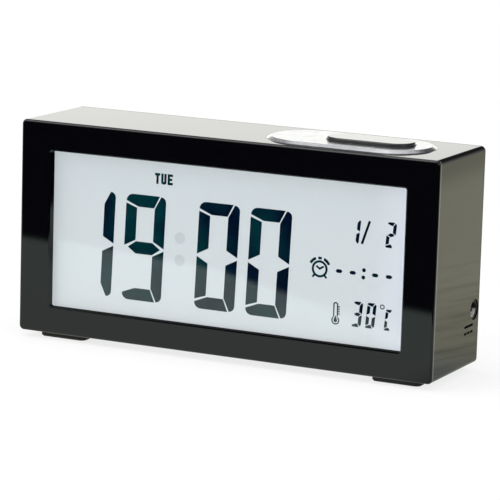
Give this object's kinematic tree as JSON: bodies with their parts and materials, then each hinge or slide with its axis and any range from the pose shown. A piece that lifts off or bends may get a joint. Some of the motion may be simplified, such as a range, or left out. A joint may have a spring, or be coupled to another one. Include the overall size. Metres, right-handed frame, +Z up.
{
  "type": "desk alarm clock",
  "caption": "Slab-shaped desk alarm clock with a wide liquid-crystal display, a snooze key in an oval trim on top, rear set buttons, an alarm switch and a battery door.",
  "frame": {"origin": "middle of the case's outline, on the surface that the feet stand on", "axes": "+X to the clock's right as the reader sees its face, +Y to the back, +Z up"},
  "size_m": [0.145, 0.0376, 0.0731],
  "materials": {
    "case_gloss": "piano black gloss",
    "cover_satin": "fine satin texture",
    "foot_rubber": "matt",
    "screw_steel": "zinc plated",
    "lens_clear": "clear acrylic",
    "lcd_pale": "pale polariser",
    "guide_clear": "etched clear acrylic",
    "holder_white": "white",
    "strip_silicone": "layered silicone",
    "lamp_white": "white",
    "board_green": "solder resist",
    "chip_resin": "cast resin",
    "can_steel": "drawn",
    "can_sleeve": "sleeved",
    "trim_silver": "satin chrome",
    "key_gloss": "piano black gloss",
    "dome_silicone": "soft matt",
    "switch_black": "moulded",
    "knob_black": "moulded",
    "button_gloss": "gloss",
    "socket_black": "moulded",
    "contact_nickel": "nickel plated",
    "sounder_brass": "rolled",
    "sounder_ceramic": "silvered ceramic",
    "cell_jacket": "plain printed jacket",
    "lead_red": "insulated",
    "lead_black": "insulated",
    "ribbon_grey": "insulated"
  },
  "bodies": {
    "case": {"front_case": "case_gloss", "back_cover": "cover_satin", "foot_front_left": "foot_rubber", "foot_front_right": "foot_rubber", "foot_rear_left": "foot_rubber", "foot_rear_right": "foot_rubber", "case_screws": "screw_steel", "display_lens": "lens_clear", "lcd_front_glass": "lcd_pale", "lcd_rear_glass": "lcd_pale", "light_guide": "guide_clear", "light_reflector": "holder_white", "display_holder": "holder_white", "contact_strip": "strip_silicone", "backlight_lamps": "lamp_white", "main_board": "board_green", "main_board_screws": "screw_steel", "clock_chip": "chip_resin", "quartz_crystal": "can_steel", "smoothing_capacitors": "can_sleeve", "temperature_sensor": "chip_resin", "snooze_trim": "trim_silver", "snooze_dome": "dome_silicone", "snooze_board": "board_green", "snooze_board_screws": "screw_steel", "rear_board": "board_green", "rear_board_screws": "screw_steel", "button_switches": "switch_black", "alarm_switch": "can_steel", "socket_body": "socket_black", "socket_pin": "contact_nickel", "socket_sleeve": "contact_nickel", "sounder_disc": "sounder_brass", "sounder_element": "sounder_ceramic", "battery_1": "cell_jacket", "battery_2": "cell_jacket", "battery_3": "cell_jacket", "negative_contact": "contact_nickel", "negative_contact_spring": "contact_nickel", "lower_link": "contact_nickel", "lower_link_spring": "contact_nickel", "upper_link": "contact_nickel", "upper_link_spring": "contact_nickel", "positive_contact": "contact_nickel", "positive_lead": "lead_red", "negative_lead": "lead_black", "ribbon_cable": "ribbon_grey"},
    "snooze": {"snooze_key": "key_gloss"},
    "alarm_slider": {"alarm_knob": "knob_black"},
    "door": {"battery_door": "cover_satin"},
    "mode_control": {"mode_button": "button_gloss", "mode_switch_stem": "switch_black"},
    "set_control": {"set_button": "button_gloss", "set_switch_stem": "switch_black"},
    "up_control": {"up_button": "button_gloss", "up_switch_stem": "switch_black"},
    "down_control": {"down_button": "button_gloss", "down_switch_stem": "switch_black"}
  },
  "joints": [
    {"name": "snooze_press", "type": "slide", "parent": "case", "child": "snooze", "axis": [0, 0, -1], "range_m": [0, 0.0008], "stiffness_N_per_m": 1200, "springref_m": -0.0004, "deforming": ["snooze_dome"]},
    {"name": "alarm_slide", "type": "slide", "parent": "case", "child": "alarm_slider", "axis": [1, 0, 0], "range_m": [0, 0.002]},
    {"name": "door_swing", "type": "hinge", "parent": "case", "child": "door", "pos_m": [0, 0.01805, 0.01096], "axis": [-1, 0, 0], "range_deg": [0, 80]},
    {"name": "mode_press", "type": "slide", "parent": "case", "child": "mode_control", "axis": [0, -1, 0], "range_m": [0, 0.0005], "stiffness_N_per_m": 2000, "springref_m": -0.0003},
    {"name": "set_press", "type": "slide", "parent": "case", "child": "set_control", "axis": [0, -1, 0], "range_m": [0, 0.0005], "stiffness_N_per_m": 2000, "springref_m": -0.0003},
    {"name": "up_press", "type": "slide", "parent": "case", "child": "up_control", "axis": [0, -1, 0], "range_m": [0, 0.0005], "stiffness_N_per_m": 2000, "springref_m": -0.0003},
    {"name": "down_press", "type": "slide", "parent": "case", "child": "down_control", "axis": [0, -1, 0], "range_m": [0, 0.0005], "stiffness_N_per_m": 2000, "springref_m": -0.0003}
  ]
}
